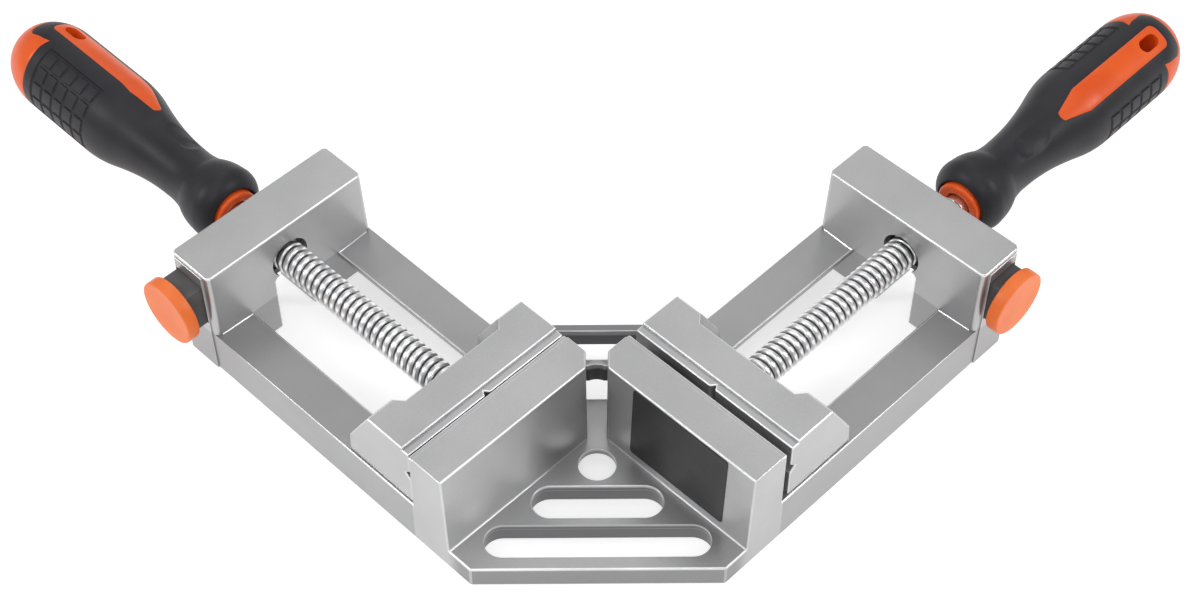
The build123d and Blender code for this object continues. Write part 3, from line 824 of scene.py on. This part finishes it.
# handles: black soft grip over an orange core, as rows of points along s, each round the handle by the turn phi
# a pair is (radius, s), or (from, to) along s
handle = {
    "start": 126.7, "length": 122.6, "skin": 2.4, "seam": 0.12, "weld": 0.001,
    # the grip's outline
    "mouth": (10.0, 1.3), "collarSide": (12.9, 3.9), "collar": (13.95, 9.6), "collarBack": (13.35, 13.9),
    "crease": (11.6, 18.6), "neck": (10.75, 22.6), "waist": (10.5, 28.0), "throat": (12.3, 46.0),
    "shoulder": (14.9, 56.5), "belly": (16.7, 67.4), "domeStart": 103.0, "domeSide": (13.5, 114.9),
    "crownStart": 118.6, "crownStep": 4, "crownRadius": 16.0,
    # the grip's mouth, round the neck ring, and the inside behind it
    "recess": (9.2, 3.4), "lips": ((9.15, 2.4), (9.25, 1.85), (9.55, 1.42)), "lipStep": 0.16,
    "mouthEnd": 5.0, "innerMouth": 9.95, "innerLean": (0.28, 0.25),
    # the inlaid strips, and the black between them
    "stripTip": 50.0, "stripTipWidth": 1.9, "tipRise": 0.6, "tipReach": 2.6, "stripShoulder": 60.8,
    "stripWidth": 5.2, "stripEnd": 108.0, "stripCorner": 2.6, "plainEdge": 20.0, "plainReach": 5.0,
    "fingerWidth": 10.4, "fingerEnd": 114.0, "fingerCorner": 4.2, "fingerPinch": (0.5, 2.0),
    "notchDepth": 1.2, "notchNear": 9.6, "notchWidth": 3.2, "notchReach": 5.0,
    # the hang hole
    "hole": (95.6, 104.9), "holeWidth": 2.7, "holeLeast": 0.9, "holeMargin": 1.5, "innerShare": 0.45,
    # the pads: grooves along and across, with a floor and a top half width
    "padRows": (68.0, 74.0, 80.0, 86.0, 92.0, 98.0), "rowGroove": (0.45, 0.85), "rowFloor": 0.5,
    "padTurns": (45.0, 67.5, 90.0), "turnGroove": (1.5, 2.6), "grooveDepth": 0.55,
    "betweenTurns": ((51.0, 55.7, 60.5), (73.5, 78.7, 84.0)), "betweenRows": (2.2, 3.8),
    "pads": (67.3, 98.7), "padFloors": (67.6, 98.4),
    # the thumb's broad shallow oval in line with the strip, and the small deeper one that cuts into it
    "dimples": ((36.4, 6.9, 4.8, 0.42), (31.6, 4.2, 3.9, 0.7)), "dimpled": (26.0, 44.0), "dimpleRim": 5.0,
    # the core's neck ring and its socket for the screw
    "ringOuter": 8.8, "ringBore": 4.95, "ringFront": -0.5, "ringEnd": 4.0, "ringRound": 1.3,
    "socket": 4.02, "socketEnd": 46.0,
    "rows": (
        1.4, 1.6, 1.9, 2.3, 2.8, 3.4, 4.2, 5.1, *range(6, 18), 17.8, 18.4, 18.9, 19.5, 20.3, 21.2, 22.2, 23.5,
        *(25.0 + 0.8 * i for i in range(27)), 46.5, 47.8, 49.2, 50.6, 52.2, 54.0, 56.0, 58.2, 60.0, 60.8, 61.8,
        63.4, 65.2, 66.6, 95.6, 95.9, 96.4, 96.9, 99.4, 100.6, 101.7, 102.5, 103.0, 103.5, 104.1, 104.6, 104.9,
        105.4, 106.2, 107.0, 107.6, 108.0, 108.8, 109.8, 110.8, 111.8, 112.6, 113.2, 113.6, 114.0, 114.9, 115.9,
        117.0, 118.0,
    ),
    "rowsApart": 0.12,
    "columns": {"hole": 4, "strip": 4, "finger": 6},
}
tipRow = handle["stripTip"] + handle["tipRise"]  # the tip is drawn forward from this row


def spot(name):
    # a place on the outline, as radius + s j
    return complex(*handle[name])


def firstHeading(a, b, c):
    # heading at a of the circle through a, b and c
    way = (b - a) * (c - a) / (c - b)
    return way / abs(way)


def bend(start, heading, end, count=40):
    # an arc that leaves start along heading and reaches end, with its last heading
    chord = (end - start) / heading
    sweep = 2 * phase(chord)
    centre = start + 1j * heading * abs(chord) ** 2 / (2 * chord.imag)
    arc = [centre + (start - centre) * rect(1, sweep * i / count) for i in range(count)]
    return arc, heading * rect(1, sweep)


def handleOutline():
    points = []
    for *names, count in (
        ("mouth", "collarSide", "collar", 40),
        ("collar", "collarBack", "crease", 40),
        ("crease", "neck", "waist", 24),
    ):
        a, b, c = (spot(name) for name in names)
        points += bend(a, firstHeading(a, b, c), c, count)[0]
    at, heading = spot("waist"), 1j
    for goal in (spot(name) for name in ("throat", "shoulder", "belly")):
        arc, heading = bend(at, heading, goal)
        points += arc
        at = goal
    points.append(at)
    arc, heading = bend(complex(at.real, handle["domeStart"]), 1j, spot("domeSide"))
    pole = complex(0.0, handle["length"])
    points += arc + bend(spot("domeSide"), heading, pole, 60)[0] + [pole]
    return [(p.real, p.imag) for p in points]


outline = handleOutline()


def handleRadius(s):
    for (r0, s0), (r1, s1) in zip(outline, outline[1:]):
        if s0 <= s <= s1:
            return r0 + (r1 - r0) * (s - s0) / max(s1 - s0, 1e-9)
    return 0.0 if s > handle["domeStart"] else outline[0][0]


def slant(y, s):
    # the turn at which the handle's side is y off its middle plane
    return degrees(asin(min(0.98, y / handleRadius(s))))


def ease(x):
    x = max(0.0, min(1.0, x))
    return x * x * (3 - 2 * x)


def roundedEnd(s, width, end, corner):
    over = min(max(s - (end - corner), 0.0), corner)
    return width - corner + sqrt(corner ** 2 - over ** 2)


def stripHalf(s):
    h = handle
    if s < h["stripShoulder"]:
        share = max(0.0, s - tipRow) / (h["stripShoulder"] - h["stripTip"] - h["tipRise"])
        return h["stripTipWidth"] + (h["stripWidth"] - h["stripTipWidth"]) * share
    return roundedEnd(s, h["stripWidth"], h["stripEnd"], h["stripCorner"])


def fingerHalf(s):
    h = handle
    if s > h["fingerEnd"] - h["fingerCorner"]:
        return roundedEnd(s, h["fingerWidth"], h["fingerEnd"], h["fingerCorner"])
    depth, reach = h["fingerPinch"]
    return h["fingerWidth"] - depth * max(0.0, 1 - abs(s - h["domeStart"]) / reach)


def holeHalf(s):
    (first, last), wide = handle["hole"], handle["holeWidth"]
    over = max(first + wide - s, s - last + wide, 0.0)
    return max(handle["holeLeast"], sqrt(max(0.0, wide ** 2 - over ** 2)))


padCore = slant(handle["fingerWidth"], 80.0)
grooveFloor, grooveTop = handle["turnGroove"]
padColumns = []
for line, between in zip(handle["padTurns"], handle["betweenTurns"]):
    padColumns += [line - grooveTop, line - grooveFloor, line + grooveFloor, line + grooveTop, *between]
padColumns += [90 - grooveTop, 90 - grooveFloor, 90.0]
groups = [name for name, count in handle["columns"].items() for _ in range(count)]
lastFinger = len(groups)  # the column where the pads begin
floorColumns = {
    lastFinger + 1 + i for i, turn in enumerate(padColumns)
    if any(abs(turn - line) <= grooveFloor for line in handle["padTurns"])
}
groups += ["pad"] * len(padColumns)
quarter = len(groups)


def quarterTurns(s):
    # the turns of one quarter's columns at s, and those of the strip's edge and of the pads' edge
    h = handle
    along = min(max(s, tipRow), h["stripEnd"])
    edge = slant(stripHalf(along), along)
    if s < tipRow:
        edge += (h["plainEdge"] - edge) * ease((tipRow - s) / h["plainReach"])
    inner = h["innerShare"] * edge
    first, last = h["hole"]
    if first - h["holeMargin"] < s < last + h["holeMargin"]:
        away = max(first - s, s - last, 0.0) / h["holeMargin"]
        hole = slant(holeHalf(s), s)
        inner = hole + (inner - hole) * ease(away)
    at = min(s, h["fingerEnd"])
    finger = padCore if s < h["padRows"][-1] else slant(fingerHalf(at), at)
    turns = []
    for (low, high), count in zip(((0.0, inner), (inner, edge), (edge, finger)), h["columns"].values()):
        turns += [low + (high - low) * i / count for i in range(count)]
    turns.append(finger)
    turns += [finger + (90 - finger) * (p - padCore) / (90 - padCore) for p in padColumns]
    return turns, edge, finger


def rowPlaces():
    rows = list(handle["rows"])
    floor, top = handle["rowGroove"]
    for line in handle["padRows"]:
        rows += [line - top, line - floor, line + floor, line + top]
        if line < handle["padRows"][-1]:
            rows += [line + more for more in handle["betweenRows"]]
    rows = sorted(set(round(r, 3) for r in rows))
    kept = [rows[0]]
    for r in rows[1:]:
        if r - kept[-1] > handle["rowsApart"]:
            kept.append(r)
    return kept


def dimple(s, phi):
    y = handleRadius(s) * sin(radians(min(phi, 90.0)))
    deep = 0.0
    for centre, long, wide, depth in handle["dimples"]:
        inside = 1 - ((s - centre) / long) ** 2 - (y / wide) ** 2
        if inside > 0:
            deep = max(deep, depth * sqrt(inside) * ease(inside * handle["dimpleRim"]))
    return deep


def sinkAt(s, index, phi):
    # how deep the pads' grooves and the dimples lie
    h = handle
    if h["pads"][0] < s < h["pads"][1] and index > lastFinger:
        rowFloor = index > lastFinger + 1 and any(abs(s - line) < h["rowFloor"] for line in h["padRows"])
        columnFloor = index in floorColumns and h["padFloors"][0] < s < h["padFloors"][1]
        return h["grooveDepth"] if rowFloor or columnFloor else 0.0
    if h["dimpled"][0] < s < h["dimpled"][1] and index <= lastFinger:
        return dimple(s, phi)
    return 0.0


def shiftedRow(s, phi, edge, finger):
    # rows bend at the dome's notches and at the strip's tip
    h = handle
    at = s
    if abs(s - h["domeStart"]) < h["notchReach"]:
        y = h["belly"][0] * sin(radians(phi))
        dip = -h["notchDepth"] * max(0.0, 1 - max(0.0, y - h["notchNear"]) / h["notchWidth"])
        if phi < finger - 1e-6:
            dip *= max(0.0, (phi - edge) / (finger - edge))
        at += dip * (1 - abs(s - h["domeStart"]) / h["notchReach"])
    if abs(s - tipRow) < h["tipReach"] and phi < edge:
        at -= h["tipRise"] * (1 - (phi / edge) ** 2) * (1 - abs(s - tipRow) / h["tipReach"])
    return at


def handleGrid():
    # every row gives its outer and inner points round the handle
    h = handle
    (recessRadius, recessAt), (_, mouthAt), (widening, advance) = h["recess"], h["mouth"], h["innerLean"]
    rows = [("lip", r, s) for r, s in (h["recess"], *h["lips"], h["mouth"])]
    rows += [("side", None, s) for s in rowPlaces()]
    crown = [p for p in outline if p[1] > h["crownStart"]]
    rows += [("crown", r, s) for r, s in crown[::h["crownStep"]][:-1]]
    grid = []
    for kind, radius, s in rows:
        turns, edge, finger = quarterTurns(s)
        outer, inner = [], []
        for k in range(4 * quarter):
            q, i = divmod(k, quarter)
            index = i if q % 2 == 0 else quarter - i
            phi = turns[index]
            angle = radians((phi, 180 - phi, 180 + phi, 360 - phi)[q])
            at, reach, sink = s, radius, 0.0
            if kind == "side":
                at = shiftedRow(s, phi, edge, finger)
                reach, sink = handleRadius(at), sinkAt(s, index, phi)
                step = 0.05
                lean = (handleRadius(at + step) - handleRadius(at - step)) / (2 * step)
                size = hypot(1.0, lean)
                innerReach, innerAt = reach - h["skin"] / size, at + h["skin"] * lean / size
                if s < h["mouthEnd"]:
                    more = max(0.0, at - mouthAt)
                    innerReach, innerAt = h["innerMouth"] + widening * more, recessAt + advance * more
            elif kind == "lip":
                innerReach, innerAt = recessRadius + h["lipStep"] * len(grid), recessAt
            else:
                innerReach, innerAt = reach * (1 - h["skin"] / h["crownRadius"]), at - h["skin"]
            outer.append([reach - sink, at, angle])
            inner.append([innerReach, innerAt, angle])
        grid.append((kind, s, outer, inner))
    return grid


def groupOf(k):
    q, i = divmod(k, quarter)
    return groups[i if q % 2 == 0 else quarter - 1 - i]


def regionOf(s, group):
    h = handle
    if group == "hole" and h["hole"][0] < s < h["hole"][1]:
        return "hole"
    if s > h["fingerEnd"]:
        return "core"
    if group in ("hole", "strip"):
        return "core" if tipRow < s < h["stripEnd"] else "grip"
    if group == "pad":
        return "core" if s > h["domeStart"] else "grip"
    return "grip"


def besides(i, k):
    # the four cells beside a cell, each with the two points of the side that they share
    return (
        (i - 1, k, (i, k), (i, k + 1)), (i + 1, k, (i + 1, k), (i + 1, k + 1)),
        (i, k - 1, (i, k), (i + 1, k)), (i, k + 1, (i, k + 1), (i + 1, k + 1)),
    )


def closeCore(bm, grid, point):
    # the dome's pole, and the neck ring with its socket for the screw
    h, columns = handle, range(4 * quarter)
    pole = bm.verts.new((0, 0, h["length"]))
    joinRings(bm, [[point(len(grid) - 1, k, "outer") for k in columns], [pole]])
    c = h["ringRound"]
    turns = [radians(15 * a) for a in range(7)]
    neck = [(h["socket"], h["socketEnd"]), (h["socket"], h["ringEnd"]), (h["ringBore"], h["ringEnd"])]
    neck += [(h["ringBore"] + c * (1 - cos(t)), h["ringFront"] + c * (1 - sin(t))) for t in turns]
    neck += [(h["ringOuter"] - c * (1 - cos(t)), h["ringFront"] + c * (1 - sin(t))) for t in reversed(turns)]
    neck.append((h["ringOuter"], h["recess"][1]))
    rings = [[bm.verts.new((0, 0, h["socketEnd"]))]]
    rings += [[bm.verts.new((r * cos(a), r * sin(a), s)) for _, _, a in grid[0][3]] for r, s in neck]
    joinRings(bm, rings + [[point(0, k, "inner") for k in columns]])


def handleShells():
    grid = handleGrid()
    count = 4 * quarter
    regions = []
    for low, high in zip(grid, grid[1:]):
        middle = (low[1] + high[1]) / 2 if low[0] != "lip" else 0.0
        regions.append([regionOf(middle, groupOf(k)) for k in range(count)])
    # the seam: points between two colours sit a little lower
    for i in range(1, len(regions)):
        for k in range(count):
            around = {regions[i - 1][k], regions[i - 1][k - 1], regions[i][k], regions[i][k - 1]} - {"hole"}
            if len(around) > 1:
                grid[i][2][k][0] -= handle["seam"]
    shells = {}
    for part in ("grip", "core"):
        bm = bmesh.new()
        points = {}

        def point(i, k, level):
            k %= count
            if (i, k, level) not in points:
                radius, s, angle = grid[i][2 if level == "outer" else 3][k]
                points[i, k, level] = bm.verts.new((radius * cos(angle), radius * sin(angle), s))
            return points[i, k, level]

        def quad(*corners):
            unique = list(dict.fromkeys(point(*corner) for corner in corners))
            if len(unique) > 2 and not bm.faces.get(unique):
                bm.faces.new(unique)

        for i, row in enumerate(regions):
            for k, region in enumerate(row):
                for level, wanted in (("outer", region == part), ("inner", region == "grip")):
                    if wanted:
                        quad((i, k, level), (i, k + 1, level), (i + 1, k + 1, level), (i + 1, k, level))
                # the core's hang hole goes right through, and the grip's windows have walls
                through = region == "hole" and part == "core" and k // quarter in (0, 3)
                for ni, nk, a, b in besides(i, k):
                    if through and regions[ni][nk % count] != "hole":
                        farA, farB = ((at[0], 2 * quarter - at[1], "outer") for at in (a, b))
                        quad((*a, "outer"), (*b, "outer"), farB, farA)
                    if region == "grip" and 0 <= ni < len(regions) and regions[ni][nk % count] != "grip":
                        quad((*a, "outer"), (*b, "outer"), (*b, "inner"), (*a, "inner"))
        if part == "core":
            closeCore(bm, grid, point)
        bmesh.ops.remove_doubles(bm, verts=bm.verts, dist=handle["weld"])
        shells[part] = bm
    return shells


def makeHandles():
    shells = handleShells()
    for side, arm in arms.items():
        roll = Matrix.Rotation(radians(arm["roll"]), 4, "Z")
        place = armPlace(side, arm["gap"]) @ alongArm(handle["start"]) @ roll
        for part, finish, slot in (("grip", "black", "black_rubber"), ("core", "orange", "orange_plastic")):
            piece = settle(shells[part].copy(), side + part.title(), place, sharp=28)
            dressPiece(piece, side + "_screw", finish, slot, side + "_handle_" + part)


makeHandles()
print("handles made")

# a blank plate on the sloping back of a fixed jaw, whose foot and head are (u, z)
label = {
    "v": (31.9, 73.5), "z": (12.5, 45.0), "foot": (-16.4, 9.0), "head": (-15.1, 46.0),
    "thickness": 0.25, "sunk": 0.05, "edge": 0.08, "corner": 1.2,
}


def makeLabel(side):
    bm = bmesh.new()
    (u0, z0), (u1, z1) = label["foot"], label["head"]
    (v0, v1), (low, high) = label["v"], label["z"]
    c, edge, thick = label["corner"], label["edge"], label["thickness"]
    loop = []
    corners = ((v1 - c, high - c), (v0 + c, high - c), (v0 + c, low + c), (v1 - c, low + c))
    for quarterTurn, (cv, cz) in enumerate(corners):
        for i in range(7):
            a = radians(90 * quarterTurn + 15 * i)
            loop.append((cv + c * cos(a), cz + c * sin(a)))
    rings = []
    for inset, lift in ((0, -label["sunk"]), (0, thick - edge), (edge, thick)):
        ring = []
        for v, z in loop:
            v -= inset * (1 if v > (v0 + v1) / 2 else -1)
            z -= inset * (1 if z > (low + high) / 2 else -1)
            u = u0 + (u1 - u0) * (z - z0) / (z1 - z0) - lift
            ring.append(bm.verts.new((u, v, z)))
        rings.append(ring)
    joinRings(bm, rings)
    bm.faces.new(rings[0])
    bm.faces.new(rings[-1])
    piece = settle(bm, side + "LabelPlate", armPlace(side), sharp=30)
    dressPiece(piece, "frame", "label", "dark_plastic")


makeLabel("right")
print("label plate made")

white = (1.0, 1.0, 1.0, 1.0)

# the lamps are (place, size, power)
studio = {
    "floor": 0.65, "floorSize": 6.0, "floorDrop": 0.2, "sky": 0.45,
    "paint": {"Roughness": 0.9, "Specular IOR Level": 0.1, "Emission Strength": 0.62, "Emission Color": white},
    "lamps": {
        "keySoftbox": ((-1.0, -0.95, 1.6), 0.7, 6.0),
        "backSoftbox": ((1.1, 1.1, 1.5), 1.5, 5.0),
        "topSoftbox": ((0.0, 0.0, 1.8), 1.2, 5.0),
        "leftSoftbox": ((-1.15, 0.85, 1.15), 0.45, 8.0),
        "rightSoftbox": ((0.85, -1.15, 1.15), 0.45, 8.0),
    },
}


def makeStudio():
    scene = bpy.context.scene
    scene.view_settings.view_transform = "Standard"
    scene.view_settings.look = "None"
    bm = bmesh.new()
    bmesh.ops.create_grid(bm, x_segments=1, y_segments=1, size=studio["floorSize"])
    floor = settle(bm, "studioFloor", Matrix.Translation((0, 0, -studio["floorDrop"] * milli)), sharp=30)
    finish, place = newFinish("paleFloor", studio["paint"])
    tone = [studio["floor"]] * 3
    floor.data.materials.append(dress(finish, place.noise(3.0).blend(tone, [0.99 * t for t in tone])))
    world = bpy.data.worlds.new("studioSky")
    scene.world = world
    world.use_nodes = True
    back = world.node_tree.nodes["Background"]
    back.inputs["Color"].default_value = white
    back.inputs["Strength"].default_value = studio["sky"]
    for name, (place, size, power) in studio["lamps"].items():
        light = bpy.data.lights.new(name, "AREA")
        light.shape = "SQUARE"
        light.size = size
        light.energy = power
        lamp = bpy.data.objects.new(name, light)
        lamp.location = place
        lamp.rotation_euler = (-Vector(place)).to_track_quat("-Z", "Y").to_euler()
        scene.collection.objects.link(lamp)


makeStudio()
print("studio lit")
